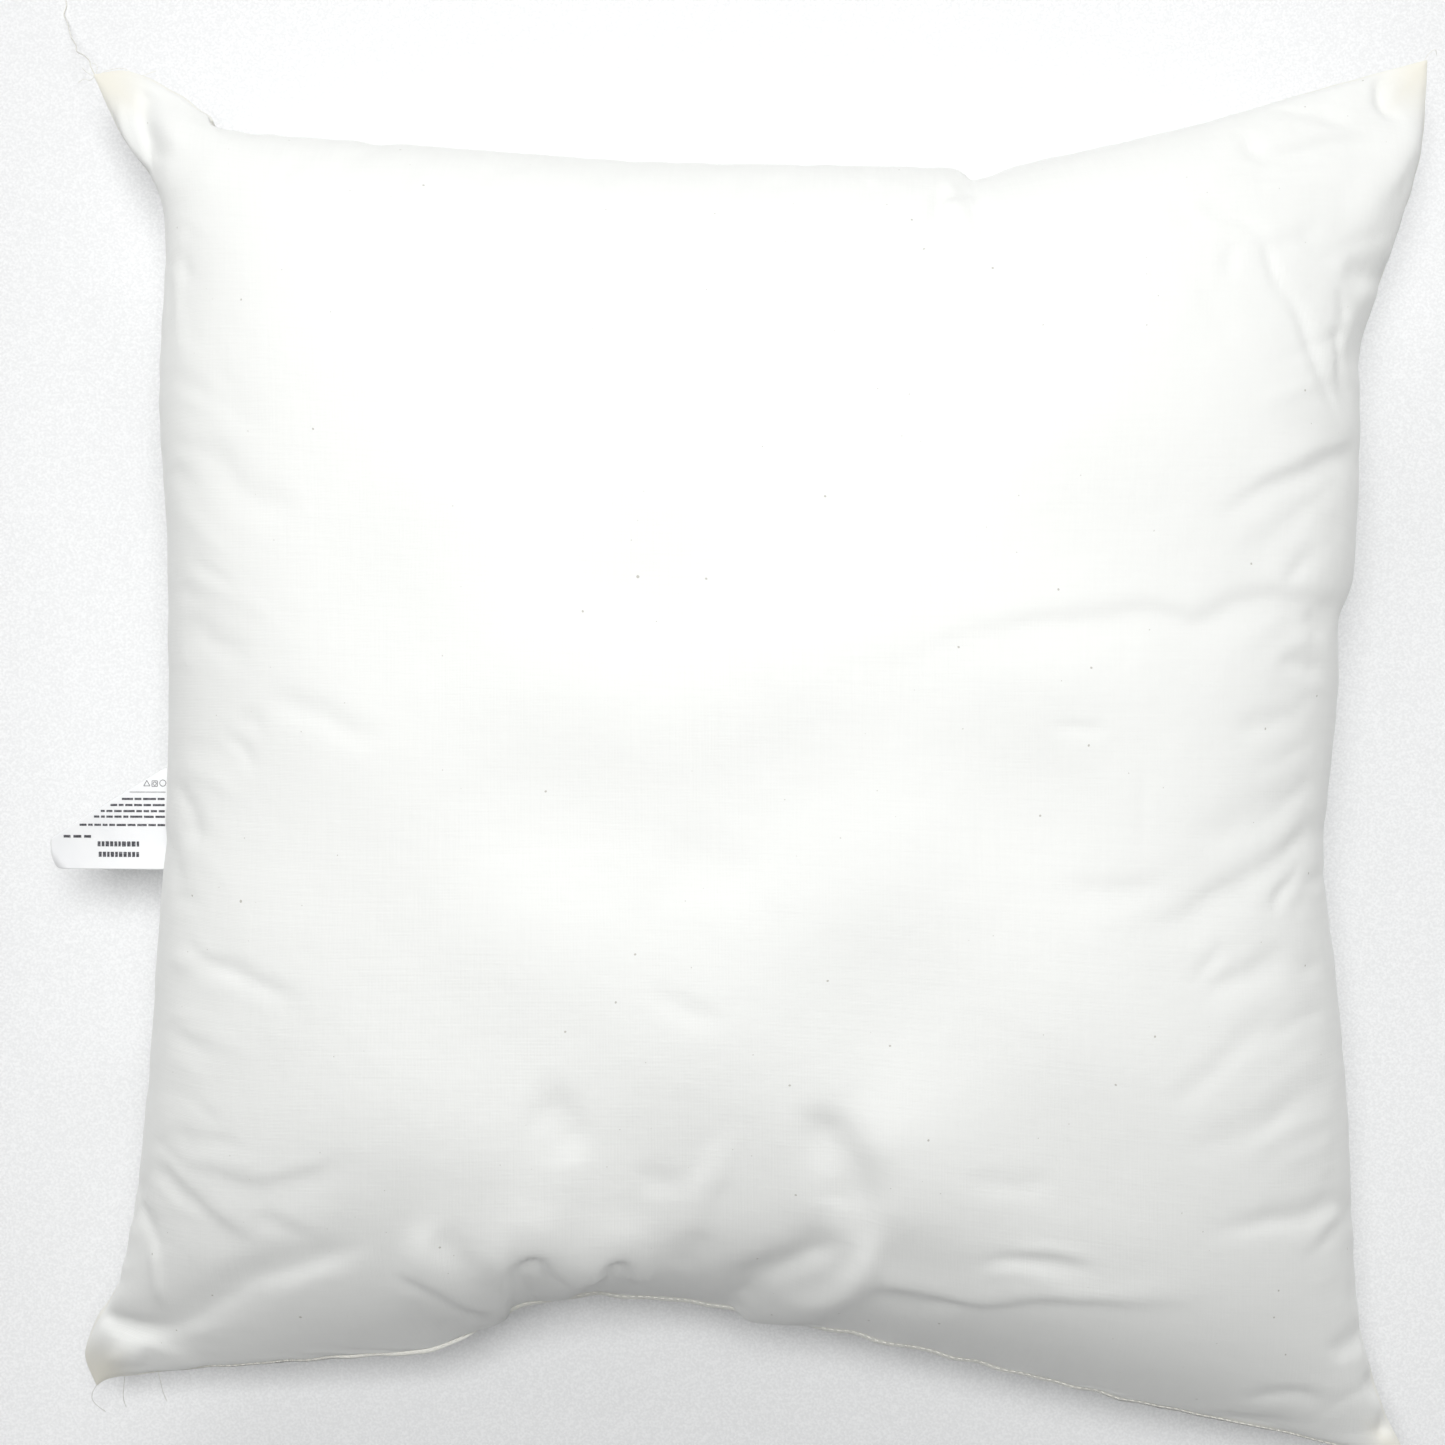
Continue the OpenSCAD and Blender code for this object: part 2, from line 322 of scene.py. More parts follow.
def spare(n, seed, amount, reach):
    """Share of spare cloth along the threads that run beside the two nearer seams."""
    s = np.linspace(0, 1, n + 1)
    near = np.exp(-s * CUT / reach) + np.exp(-(1 - s) * CUT / reach)
    inner = 1 - np.abs(2 * s[:, None] - 1) ** 3
    return 0.002 + amount * near[None, :] * inner * (0.75 + 0.6 * waves(n, seed, 0.12))


def pull(x, a, b, rest, hold):
    """Pulls the grid points at slices a and b towards their rest distance."""
    d = x[b] - x[a]
    length = np.sqrt((d * d).sum(-1)) + 1e-12
    move = d * (0.5 * hold * (1 - rest / length))[..., None]
    x[a] += move
    x[b] -= move


MOMENTUM = 0.9                 # share of a point's last move that it makes again
SHEAR = 0.12                   # how firmly the cells' diagonals keep their length
HOLD = 0.008                   # how firmly the fill holds the cloth on the form


def relax(x, goal, rest_u, rest_v, rounds, bend, floor):
    """Cloth with the given rest lengths, pinned round its edge, settling over the goal."""
    rim, before = x.copy(), x.copy()
    every, but_last, but_first = slice(None), slice(0, -1), slice(1, None)
    rest_d = np.hypot(
        (rest_u[:, 1:] + rest_u[:, :-1]) / 2,
        (rest_v[1:] + rest_v[:-1]) / 2,
    )
    for _ in range(rounds):
        moved = MOMENTUM * (x - before)
        before = x.copy()
        x = x + moved
        x += HOLD * (goal - x)
        for ax in (0, 1):
            y = np.moveaxis(x, ax, 0)
            e = bend * (y[:-2] - 2 * y[1:-1] + y[2:])
            y[1:-1] += 0.5 * e
            y[:-2] -= 0.25 * e
            y[2:] -= 0.25 * e
        for k in (0, 1):
            pull(x, (slice(k, -1, 2), every), (slice(k + 1, None, 2), every), rest_u[k::2], 1)
            pull(x, (every, slice(k, -1, 2)), (every, slice(k + 1, None, 2)), rest_v[:, k::2], 1)
        pull(x, (but_last, but_last), (but_first, but_first), rest_d, SHEAR)
        pull(x, (but_last, but_first), (but_first, but_last), rest_d, SHEAR)
        if floor:
            x[..., 2] = np.maximum(x[..., 2], 0.0)
        x[0], x[-1] = rim[0], rim[-1]
        x[:, 0], x[:, -1] = rim[:, 0], rim[:, -1]
    return x


def finer(x, n):
    """The grid x drawn again with n cells each way, by a cubic curve along each grid line."""
    for ax in (0, 1):
        y = np.moveaxis(x, ax, 0)
        m = len(y) - 1
        f = np.linspace(0, m, n + 1)
        i = np.clip(f.astype(int), 0, m - 1)
        t = (f - i)[:, None, None]
        b, c = y[i], y[i + 1]
        a = np.where((i > 0)[:, None, None], y[np.maximum(i - 1, 0)], 2 * b - c)
        d = np.where((i < m - 1)[:, None, None], y[np.minimum(i + 2, m)], 2 * c - b)
        x = np.moveaxis(cubic(a, b, c, d, t), 0, ax)
    return np.ascontiguousarray(x)


STAGES = ((450, 0.1), (220, 0.2), (80, 0.3))    # rounds and stiffness, coarse cloth to fine
LUMP = 2.2 * MM                # height of the fill's lumps under the top panel
SPARE_REACH = 0.045            # how far from a seam the spare cloth is gathered


def cloth_panel(top):
    """One panel of ticking: cloth with spare length by the seams, settled over the form.

    Towards the ears, which hold hardly any fill, it lies taut between the seams.
    """
    seed = 31 if top else 23
    x = form_grid(GRID // 4, top)
    x[1:-1, 1:-1] += 0.4 * MM * np.random.default_rng(3).normal(size=x[1:-1, 1:-1].shape)
    for rounds, bend in STAGES:
        n = x.shape[0] - 1
        goal = form_grid(n, top)
        lumps = LUMP * waves(n, seed + 2, 0.11)
        inner = np.sin(math.pi * np.linspace(0, 1, n + 1))
        goal[..., 2] += (lumps if top else 0) * inner[:, None] * inner[None, :]
        x[0], x[-1], x[:, 0], x[:, -1] = goal[0], goal[-1], goal[:, 0], goal[:, -1]
        loose_u = spare(n, seed, 0.014, SPARE_REACH)
        loose_v = spare(n, seed + 1, 0.013, SPARE_REACH).T
        rest_u = np.linalg.norm(np.diff(goal, axis=0), axis=-1) * (1 + loose_u[:-1])
        rest_v = np.linalg.norm(np.diff(goal, axis=1), axis=-1) * (1 + loose_v[:, :-1])
        x = relax(x, goal, rest_u, rest_v, rounds, bend, not top)
        if n < GRID:
            x = finer(x, 2 * n)
    across = np.abs(np.linspace(-1, 1, n + 1))
    taut = 0.85 * eased((across[:, None] * across[None, :] - 0.25) / 0.45)
    return x + taut[..., None] * (goal - x)


def normals(x):
    """Unit normals of the grid x, upwards on the top panel."""
    return unit(np.cross(np.gradient(x, axis=0), np.gradient(x, axis=1)))


def smooth(x, rounds):
    """The grid x with its small bumps evened out, its edge kept."""
    x = x.copy()
    for _ in range(rounds):
        x[1:-1, 1:-1] += 0.125 * (
            x[:-2, 1:-1] + x[2:, 1:-1] + x[1:-1, :-2] + x[1:-1, 2:] - 4 * x[1:-1, 1:-1]
        )
    return x


# ---- folds
def seen_plan(x):
    """Where each point of x appears on the seam's level to the viewer straight above."""
    scale = VIEW_HEIGHT / (VIEW_HEIGHT - (x[..., 2:] - SEEN_LEVEL))
    return np.array(CENTRE) + (x[..., :2] - np.array(CENTRE)) * scale


def from_path(p, path):
    """Signed distance of the points p from the smooth path, left positive, and share along it."""
    line = along(path, np.linspace(0, 1, 9 * len(path)))
    sums = running_length(line)
    near = np.full(len(p), 9.0)
    signed, share = np.zeros(len(p)), np.zeros(len(p))
    for k in range(len(line) - 1):
        d = line[k + 1] - line[k]
        t = np.clip(((p - line[k]) @ d) / (d @ d), 0, 1)
        off = p - (line[k] + t[:, None] * d)
        dist = np.linalg.norm(off, axis=1)
        better = dist < near
        side = np.sign(d[0] * off[:, 1] - d[1] * off[:, 0])
        near = np.where(better, dist, near)
        signed = np.where(better, dist * side, signed)
        share = np.where(better, (sums[k] + t * (sums[k + 1] - sums[k])) / sums[-1], share)
    return signed, share


def fold_height(p, height, left, right, path, fade=(0.35, 0.35)):
    """Height of one fold over the points p: left and right are the widths of its two flanks,
    and fade the shares of its length over which it runs out at its start and its end."""
    path = np.array(path, float) * MM
    reach = 3 * max(left, right) * MM
    out = np.zeros(p.shape[:2])
    lo, hi = path.min(0) - reach, path.max(0) + reach
    inside = ((p > lo) & (p < hi)).all(-1)
    d, share = from_path(p[inside], path)
    width = np.where(d > 0, left, right) * MM
    ends = np.ones_like(share)
    for part, gone in ((share, fade[0]), (1 - share, fade[1])):
        if gone > 0:
            ends *= eased(part / gone)
    out[inside] = height * MM * np.exp(-((d / width) ** 2)) * ends
    return out


# Each fold of the top panel, in millimetres on the seam's level as seen from straight above:
# height (valleys are negative), the widths of its left and right flanks, its line, and then,
# if they aren't the usual ones, the shares of its length over which it fades in and out
TOP_FOLDS = [
    # The long crease across the right half
    (-1.5, 16, 5, [
        (246, 55), (234, 57), (223, 58), (213, 59), (201, 57), (192, 53), (182, 49), (172, 51),
        (160, 53), (143, 52), (127, 50), (103, 47), (72, 37), (53, 32), (29, 24),
    ], (0.05, 0.6)),
    (0.5, 12, 8, [(236, 46), (214, 49), (186, 42), (150, 42), (120, 40)], (0.1, 0.8)),
    (-1.0, 3, 3, [(229, 56), (232, 50), (234, 42)]),
    (-1.1, 4, 4, [(215, 36), (225, 33), (237, 28)]),
    # In from the right side
    (-1.5, 9, 2.8, [
        (251, 123), (242, 120), (230, 115), (217, 108), (205, 101), (194, 94), (186, 91),
    ], (0.1, 0.5)),
    (0.5, 7, 6, [(240, 124), (222, 118), (204, 107)]),
    (-1.0, 10, 7, [(238, 98), (221, 90), (209, 82), (196, 74)]),
    (-1.0, 4, 4, [(236, 80), (227, 73), (218, 65)]),
    (-0.8, 5, 5, [(196, 4), (213, 9), (228, 15)]),
    (-0.6, 2.5, 2.5, [(122, 8), (135, 7), (148, 5)]),
    (-0.4, 2, 2, [(161, -8), (161, -47)]),
    (-0.9, 8, 8, [(238, -8), (220, -23), (198, -34), (176, -40)]),
    (-1.2, 9, 4, [
        (236, -26), (225, -39), (213, -49), (203, -56), (191, -62), (178, -70), (164, -75),
        (148, -79),
    ], (0.1, 0.5)),
    (-1.3, 2.5, 2.5, [(230, -47), (223, -55), (217, -62), (213, -72)]),
    (-0.9, 2.5, 2.5, [(238, -50), (232, -56), (225, -56)]),
    (0.5, 5, 5, [(224, -49), (212, -58), (200, -64)]),
    (-0.7, 4, 8, [(120, -56), (143, -60), (160, -59), (178, -54)]),
    (-1.0, 8, 4, [(223, -79), (209, -91), (199, -96), (180, -105)]),
    (-0.7, 3, 3, [(195, -78), (189, -90), (180, -101)]),
    (-0.7, 5, 5, [(168, -153), (189, -135), (208, -116), (226, -104)]),
    (-0.6, 6, 6, [(176, -168), (205, -158), (232, -140)]),
    (-1.3, 5, 4, [(180, -202), (211, -196), (230, -192), (247, -186)], (0.6, 0.1)),
    (-0.9, 3, 3, [(232, -208), (241, -198), (248, -188)]),
    # By the head right ear
    (-1.4, 2.4, 2.4, [
        (208, 211), (213, 200), (218, 189), (224, 180), (229, 168), (232, 157), (236, 147),
        (244, 133),
    ], (0.15, 0.15)),
    (-1.5, 2.2, 2.2, [(238, 177), (242, 163), (243, 149), (247, 133)]),
    (-1.1, 2.6, 2.6, [(240, 188), (244, 179), (241, 170)]),
    (-1.1, 2.6, 2.6, [(250, 184), (251, 172), (248, 160), (250, 148)]),
    (-1.8, 6, 5, [(241, 199), (249, 193), (258, 192), (266, 196)], (0.35, 0.1)),
    (-1.1, 3, 3, [(225, 210), (234, 202), (244, 194)]),
    (-1.5, 3, 3, [(180, 224), (192, 219), (202, 216), (215, 211)]),
    (-0.7, 4, 4, [(211, 206), (225, 208), (236, 215)]),
    (-1.7, 3, 4, [
        (199, 255), (205, 246), (212, 242), (223, 243), (238, 246), (253, 247), (267, 245),
    ], (0.2, 0.3)),
    (-1.4, 3, 3, [(206, 260), (221, 260), (234, 259), (245, 255), (256, 252), (268, 246)]),
    (-0.6, 4, 4, [(230, 267), (238, 259), (248, 254)]),
    (-1.1, 3, 3, [(193, 234), (213, 234), (229, 236), (245, 237)]),
    (-2.4, 2.6, 2.2, [
        (272, 280), (261, 274), (258, 268), (260, 261), (265, 257), (269, 255),
    ], (0.3, 0.3)),
    (2.4, 5, 10, [(273, 268), (272, 250), (266, 237), (257, 221), (253, 203)]),
    (-0.7, 3, 3, [(200, 207), (197, 199), (196, 189)]),
    (-0.6, 4, 4, [(169, 228), (180, 217), (189, 205)]),
    (-0.5, 4, 4, [(181, 188), (192, 177), (201, 164)]),
    # In from the head side
    (-3.0, 3.5, 3, [
        (90, 232), (84, 227), (79, 225), (76, 216), (71, 207), (66, 198), (64, 188),
    ], (0.0, 0.5)),
    (-1.7, 3, 3.5, [
        (70, 195), (77, 193), (84, 187), (90, 179), (98, 173), (109, 170), (124, 165),
    ], (0.3, 0.5)),
    (-1.5, 3, 3, [(91, 231), (92, 223), (95, 214), (100, 206), (106, 195)], (0.1, 0.6)),
    (1.3, 5, 5, [(86, 233), (83, 224), (82, 214)]),
    (-0.8, 5, 5, [(-38, 238), (-47, 228), (-57, 215), (-71, 203)]),
    (-0.6, 4, 4, [(-36, 241), (-54, 236), (-70, 229)]),
    (-0.8, 5, 5, [(4, 237), (-7, 228), (-20, 219)]),
    (-0.6, 4, 4, [(-86, 243), (-98, 237), (-114, 229)]),
    (-0.9, 4, 4, [(-140, 249), (-155, 245), (-167, 237), (-175, 232)]),
    # In from the left side
    (0.7, 3, 3, [(-234, 221), (-235, 187), (-233, 154)]),
    (-1.0, 6, 10, [(-233, 127), (-218, 117), (-208, 106), (-194, 98), (-180, 93)]),
    (-0.6, 6, 6, [(-235, 155), (-218, 147), (-206, 135), (-196, 128)]),
    (-0.7, 5, 5, [(-239, 48), (-227, 47), (-218, 41), (-202, 37)]),
    (-0.8, 5, 5, [(-204, 21), (-187, 16), (-175, 11), (-163, 5), (-148, 0)]),
    (-0.6, 4, 4, [(-212, 11), (-198, 8)]),
    (-0.7, 2.5, 2.5, [(-218, 6), (-208, -2), (-203, -13)]),
    (-0.9, 3, 3, [(-238, -10), (-231, -23), (-227, -33), (-226, -44)]),
    (-0.7, 3, 3, [(-241, -30), (-237, -47), (-231, -62)]),
    (-1.0, 3.5, 9, [
        (-239, -97), (-225, -92), (-213, -92), (-204, -98), (-191, -103), (-180, -107),
    ]),
    (0.4, 4, 4, [(-228, -99), (-214, -98), (-203, -105), (-190, -110)]),
    # Across the middle
    (-0.6, 5, 5, [(-46, -101), (-28, -108), (-8, -117)]),
    (-0.9, 12, 12, [(-40, -46), (-14, -51), (10, -56)]),
    (-0.5, 5, 5, [(84, -178), (110, -180), (132, -178)]),
    # By the foot left ear
    (-0.9, 3, 6, [(-241, -155), (-230, -160), (-219, -163), (-206, -169)]),
    (-1.0, 3, 10, [
        (-240, -172), (-221, -177), (-203, -182), (-191, -180), (-176, -175), (-163, -165),
    ], (0.3, 0.3)),
    (-1.3, 2.6, 10, [
        (-247, -169), (-234, -182), (-223, -193), (-213, -200), (-201, -205),
    ], (0.2, 0.3)),
    (-0.8, 3, 5, [(-204, -191), (-191, -198), (-179, -204)]),
    (-1.1, 2.5, 3.5, [(-249, -170), (-249, -189), (-244, -201), (-239, -209)]),
    (1.5, 2.5, 2.5, [(-246, -200), (-244, -215), (-242, -226), (-238, -234)]),
    (-2.2, 9, 4.5, [
        (-266, -232), (-254, -240), (-232, -236), (-201, -219), (-176, -211), (-148, -202),
    ], (0.1, 0.3)),
    (0.5, 3, 14, [
        (-240, -243), (-211, -238), (-191, -226), (-176, -218), (-150, -218),
    ], (0.2, 0.3)),
    (4.0, 22, 11, [
        (-150, -214), (-131, -220), (-119, -226), (-107, -230), (-99, -231),
    ], (0.3, 0.05)),
    (-2.2, 1.8, 4.5, [(-148, -216), (-131, -222), (-119, -228), (-107, -232)], (0.3, 0.1)),
    (0.9, 7, 7, [(-145, -194), (-135, -207), (-124, -218), (-112, -227)]),
    (-0.9, 5, 5, [(-128, -197), (-119, -208), (-112, -219)]),
    # The arches and curls along the foot side
    (4.2, 16, 11, [(-103, -223), (-98, -211), (-89, -206), (-79, -213), (-69, -224)], (0.3, 0.1)),
    (-2.6, 2, 5, [(-100, -224), (-96, -213), (-88, -209), (-80, -216), (-70, -226)], (0.3, 0.3)),
    (3.4, 12, 8, [(-64, -224), (-60, -213), (-55, -208), (-49, -212), (-48, -223)], (0.3, 0.2)),
    (-2.0, 2, 4.5, [(-62, -224), (-59, -215), (-55, -211), (-50, -215), (-50, -224)], (0.3, 0.2)),
    (-1.0, 6, 6, [(-30, -216), (-22, -207), (-16, -200)]),
    (-1.6, 8, 12, [(-92, -142), (-82, -148), (-74, -158), (-67, -173)]),
    (-0.8, 6, 6, [(-47, -182), (-37, -178), (-26, -183)]),
    (1.0, 16, 16, [(-24, -178), (-10, -184)]),
    (-2.6, 8, 12, [
        (14, -156), (30, -159), (38, -168), (44, -179), (45, -192), (38, -202),
    ], (0.3, 0.3)),
    (-3.6, 8, 4, [(-14, -226), (2, -221), (24, -210), (38, -200)], (0.3, 0.3)),
    (4.8, 6, 7, [(-8, -233), (24, -229), (42, -220), (50, -207), (54, -192)], (0.1, 0.4)),
    (2.5, 32, 15, [(36, -146), (52, -158), (61, -176), (60, -197), (52, -212)], (0.4, 0.3)),
    # By the foot right ear
    (1.7, 7, 2.2, [
        (43, -220), (62, -222), (78, -225), (95, -227), (119, -225), (139, -227), (171, -227),
        (202, -222),
    ], (0.12, 0.5)),
    (-1.2, 2.5, 4, [(45, -225), (65, -228), (92, -231)]),
    (-1.1, 2.2, 2.2, [(88, -214), (102, -211), (119, -212), (146, -217)]),
    (0.6, 2.4, 2.4, [(104, -208), (123, -208), (142, -213)]),
    (0.5, 2.6, 2.6, [(90, -218), (110, -217), (130, -220)]),
    (-1.4, 4, 4, [(237, -253), (247, -244), (253, -236)]),
    (-1.2, 3, 3, [(200, -267), (224, -267), (240, -270)]),
    (-1.6, 3, 4, [(184, -276), (209, -278), (228, -280)]),
    (-2.4, 2, 4, [(253, -255), (258, -262), (262, -270), (261, -277), (257, -286)], (0.2, 0.2)),
    # By the head left ear
    (-2.6, 6, 2.2, [(-249, 270), (-249, 258), (-248, 248), (-245, 237), (-240, 228)], (0.1, 0.4)),
    (1.4, 2.5, 2.5, [(-258, 264), (-257, 252), (-253, 243), (-248, 235)], (0.2, 0.3)),
    (-1.2, 2, 5, [(-246, 269), (-234, 263), (-224, 256), (-219, 251)]),
    (1.2, 5, 5, [(-242, 262), (-238, 252), (-234, 242)]),
    # On the foot left ear
    (2.0, 3.5, 12, [
        (-267, -236), (-259, -243), (-248, -246), (-236, -250), (-222, -255),
    ], (0.1, 0.3)),
    (2.0, 5, 4, [(-264, -247), (-256, -250), (-246, -252)]),
    (-1.7, 4, 3, [(-267, -231), (-257, -238), (-246, -241), (-230, -238)], (0.1, 0.6)),
]


# Small folds along the right, head and left seams: the side, their way in and their number
FINE = ((1, (-0.85, -0.5), 40), (2, (-0.55, -0.85), 30), (3, (0.85, -0.5), 36))
BARE_EDGE = 4 * MM             # over which all folds run out towards the seam
WANDER = 0.8 * MM              # how far the folds stray from their drawn lines


def fine_folds():
    """Small seeded folds that run in on the slant from all seams but the foot side's."""
    rng = np.random.default_rng(17)
    out = []
    for side, inwards, count in FINE:
        line = SIDES[side][:, :2]
        for _ in range(count):
            start = line[int(rng.uniform(0.07, 0.93) * len(line))] / MM
            way = np.array(inwards) + rng.uniform(-0.25, 0.25, 2)
            reach, sag = rng.uniform(14, 52), rng.uniform(-4, 4)
            path = [start + 2 * way, start + 0.5 * reach * way + (0, sag), start + reach * way]
            width = rng.uniform(1.8, 4.2)
            height = rng.choice([-1, 0.8]) * rng.uniform(0.25, 0.65)
            out.append((height, width, width, path, (0.15, 0.6)))
    return out


def add_folds(x):
    """The top panel with its own folds, raised along its normals and nothing at the seam."""
    n = x.shape[0] - 1
    plan = seen_plan(x)
    for k in (0, 1):
        plan[..., k] += WANDER * waves(n, 61 + k, 0.03)
    height = sum(fold_height(plan, *fold) for fold in TOP_FOLDS + fine_folds())
    s = np.minimum(np.arange(n + 1), n - np.arange(n + 1)) * CUT / n
    edge = np.minimum(s[:, None], s[None, :])
    out = x + normals(smooth(x, 12)) * (height * eased(edge / BARE_EDGE))[..., None]
    return smooth(out, 1)


# ---- meshes
def grid_quads(rows, columns):
    """The quads of a grid with its points numbered row by row."""
    idx = np.arange((rows + 1) * (columns + 1)).reshape(rows + 1, columns + 1)
    return np.stack([idx[:-1, :-1], idx[1:, :-1], idx[1:, 1:], idx[:-1, 1:]], -1).reshape(-1, 4)


def add_flat_places(obj, name, flat):
    """A UV layer with each vertex's place on its flat cloth."""
    layer = obj.data.uv_layers.new(name=name)
    loops = np.array([loop.vertex_index for loop in obj.data.loops])
    layer.data.foreach_set("uv", flat[loops].ravel())


def new_mesh(name, verts, faces, smooth_shading=True):
    mesh = bpy.data.meshes.new(name)
    mesh.from_pydata(np.asarray(verts).tolist(), [], [list(map(int, f)) for f in faces])
    mesh.polygons.foreach_set("use_smooth", [smooth_shading] * len(mesh.polygons))
    return add_object(name, mesh)


def edge_ring(n):
    """Indices of an n by n grid's edge points, counter-clockwise from the foot left corner."""
    idx = np.arange((n + 1) ** 2).reshape(n + 1, n + 1)
    return np.r_[idx[:-1, 0], idx[-1, :-1], idx[:0:-1, -1], idx[0, :0:-1]]


def closing_lip(n):
    """How much of the closing lip each edge point has, along the foot side only, and how far it
    sinks for each step outwards: it hangs down but for one stretch by the folded ear."""
    f = np.arange(n) / n
    share, sink = np.zeros(4 * n), np.zeros(4 * n)
    share[:n] = np.sin(math.pi * f) ** 0.7
    sink[:n] = 1.3 * (1 - np.exp(-(((f - 0.25) / 0.08) ** 4)))
    return share[:, None], sink[:, None]


def outwards(ring):
    """Level unit vectors out of the closed ring of points."""
    ahead = np.roll(ring, -3, 0) - np.roll(ring, 3, 0)
    return unit(np.stack([ahead[:, 1], -ahead[:, 0], np.zeros(len(ring))], -1))


# The edge's section, as steps outwards and heights above the seam, in millimetres: a turned
# seam rolls in towards its stitches, and the closing lip stands out flat
TURNED_EDGE = [(0.25, 0.55), (0.3, 0.3), (0.05, 0.1), (-1.2, 0.06), (-4.0, 0.06)]
LIP_EDGE = [(0.4, 0.8), (1.5, 0.75), (2.6, 0.7), (2.9, 0.4), (2.5, 0.06)]


def panel_mesh(name, x, top):
    """The panel's grid with its rolled edge, and the sheet's own flat coordinates as UVs."""
    n = x.shape[0] - 1
    faces = grid_quads(n, n)
    s = np.linspace(0, CUT, n + 1)
    flat = flat_grid(s, s)
    verts = x.reshape(-1, 3)
    ring = edge_ring(n)
    base, flat_base = verts[ring], flat[ring]
    out = outwards(base)
    lip, sink = closing_lip(n)
    up = np.array([0, 0, 1.0 if top else -1.0])
    seam = base - up * RIM
    middle = np.array([CUT / 2, CUT / 2])
    previous = ring
    for turned, lipped in zip(TURNED_EDGE, LIP_EDGE):
        step, rise = ((1 - lip) * a * MM + lip * b * MM for a, b in zip(turned, lipped))
        fresh = len(verts) + np.arange(4 * n)
        drop = [0, 0, 1.0] * step * sink * lip
        verts = np.concatenate([verts, seam + out * step + up * rise - drop])
        flat = np.concatenate([flat, flat_base + (flat_base - middle) * 0.01])
        band = np.stack([previous, fresh, np.roll(fresh, -1), np.roll(previous, -1)], -1)
        faces = np.concatenate([faces, band])
        previous = fresh
    if not top:
        faces = faces[:, ::-1]
    obj = new_mesh(name, verts, faces)
    add_flat_places(obj, "cloth", flat)
    return obj


def fill_mesh(name, top, bottom, inset):
    """The fibre fill: the panels' own shapes, smoothed and moved in, shut round the edge."""
    step = GRID // 48
    upper = smooth(top[::step, ::step], 2)
    lower = smooth(bottom[::step, ::step], 2)
    n = upper.shape[0] - 1
    upper = upper - inset * normals(upper)
    lower = lower + inset * normals(lower)
    ring = edge_ring(n)
    u, w = upper.reshape(-1, 3), lower.reshape(-1, 3)
    out = outwards(u[ring])
    middle = (u[ring] + w[ring]) / 2 - 2 * inset * out
    u[ring], w[ring] = middle, middle
    w[:, 2] = np.maximum(w[:, 2], inset)
    thin = u[:, 2] < w[:, 2] + 0.2 * MM
    level = (u[:, 2] + w[:, 2]) / 2
    u[:, 2] = np.where(thin, level + 0.1 * MM, u[:, 2])
    w[:, 2] = np.where(thin, level - 0.1 * MM, w[:, 2])
    quads = grid_quads(n, n)
    under = quads[:, ::-1] + len(u)
    band = np.stack([ring, ring + len(u), np.roll(ring, -1) + len(u), np.roll(ring, -1)], -1)
    return new_mesh(name, np.concatenate([u, w]), np.concatenate([quads, under, band]))


def tube(points, radius, sides=6):
    """Vertices and faces of a closed round tube along points, with tapered ends."""
    p = np.asarray(points, float)
    ahead = unit(np.gradient(p, axis=0))
    ref = np.where(np.abs(ahead[:, 2:]) > 0.8, [[1.0, 0, 0]], [[0, 0, 1.0]])
    side = unit(np.cross(ahead, ref))
    up = np.cross(side, ahead)
    turn = 2 * math.pi * np.arange(sides) / sides
    r = np.full(len(p), radius)
    r[0], r[-1] = 0.55 * radius, 0.55 * radius
    rings = p[:, None] + r[:, None, None] * (
        np.cos(turn)[None, :, None] * side[:, None] + np.sin(turn)[None, :, None] * up[:, None]
    )
    faces = [list(range(sides))[::-1]]
    for k in range(len(p) - 1):
        for s in range(sides):
            a, b = k * sides + s, k * sides + (s + 1) % sides
            faces.append([a, b, b + sides, a + sides])
    faces.append([(len(p) - 1) * sides + s for s in range(sides)])
    return rings.reshape(-1, 3), faces


def tubes(name, lines, radius, sides=6):
    """One mesh of many separate tubes."""
    verts, faces, count = [], [], 0
    for line in lines:
        v, f = tube(line, radius, sides)
        verts.append(v)
        faces += [[k + count for k in face] for face in f]
        count += len(v)
    return new_mesh(name, np.concatenate(verts), faces)


def stitches(line, pitch, length, bury, away):
    """Short arched stitches along line; each end dips by bury against the vectors away."""
    count = int(running_length(line)[-1] / pitch)
    both = evenly(np.c_[line, away], count * 12 + 1)
    share = length / pitch
    out = []
    for k in range(count):
        f = np.linspace(12 * k, 12 * (k + share), 6)
        part = np.stack([np.interp(f, np.arange(len(both)), both[:, c]) for c in range(6)], -1)
        dip = bury * (np.abs(np.linspace(-1, 1, 6)) ** 4)[:, None]
        out.append(part[:, :3] - dip * part[:, 3:])
    return out


# ---- care label
LABEL_W = 42 * MM
LABEL_LEN = 51 * MM
LABEL_DROOP = math.radians(8)
LABEL_ROOT = np.array([-0.238, -0.030, SEAM_Z])
RIBBON_T = 0.2 * MM
INK_LIFT = 0.06 * MM           # of the print above the ribbon
STROKE = 0.26 * MM             # width of the printed outlines
CREASE_START = np.array([0, LABEL_W / 2])
CREASE_END = np.array([-LABEL_LEN, -0.22 * LABEL_W])


def bend(p, at, way, radius, most):
    """Bends the points p downwards beyond the line through at, square to the level vector way."""
    e = (p[:, :2] - at) @ way
    phi = np.clip(e / radius, 0, most)
    over = np.maximum(e - most * radius, 0)
    z = p[:, 2]
    past = e > 0
    reach = np.where(past, (radius + z) * np.sin(phi) + over * np.cos(phi), e)
    height = np.where(past, (radius + z) * np.cos(phi) - radius - over * np.sin(phi), z)
    return np.c_[p[:, :2] + (reach - e)[:, None] * way, height]


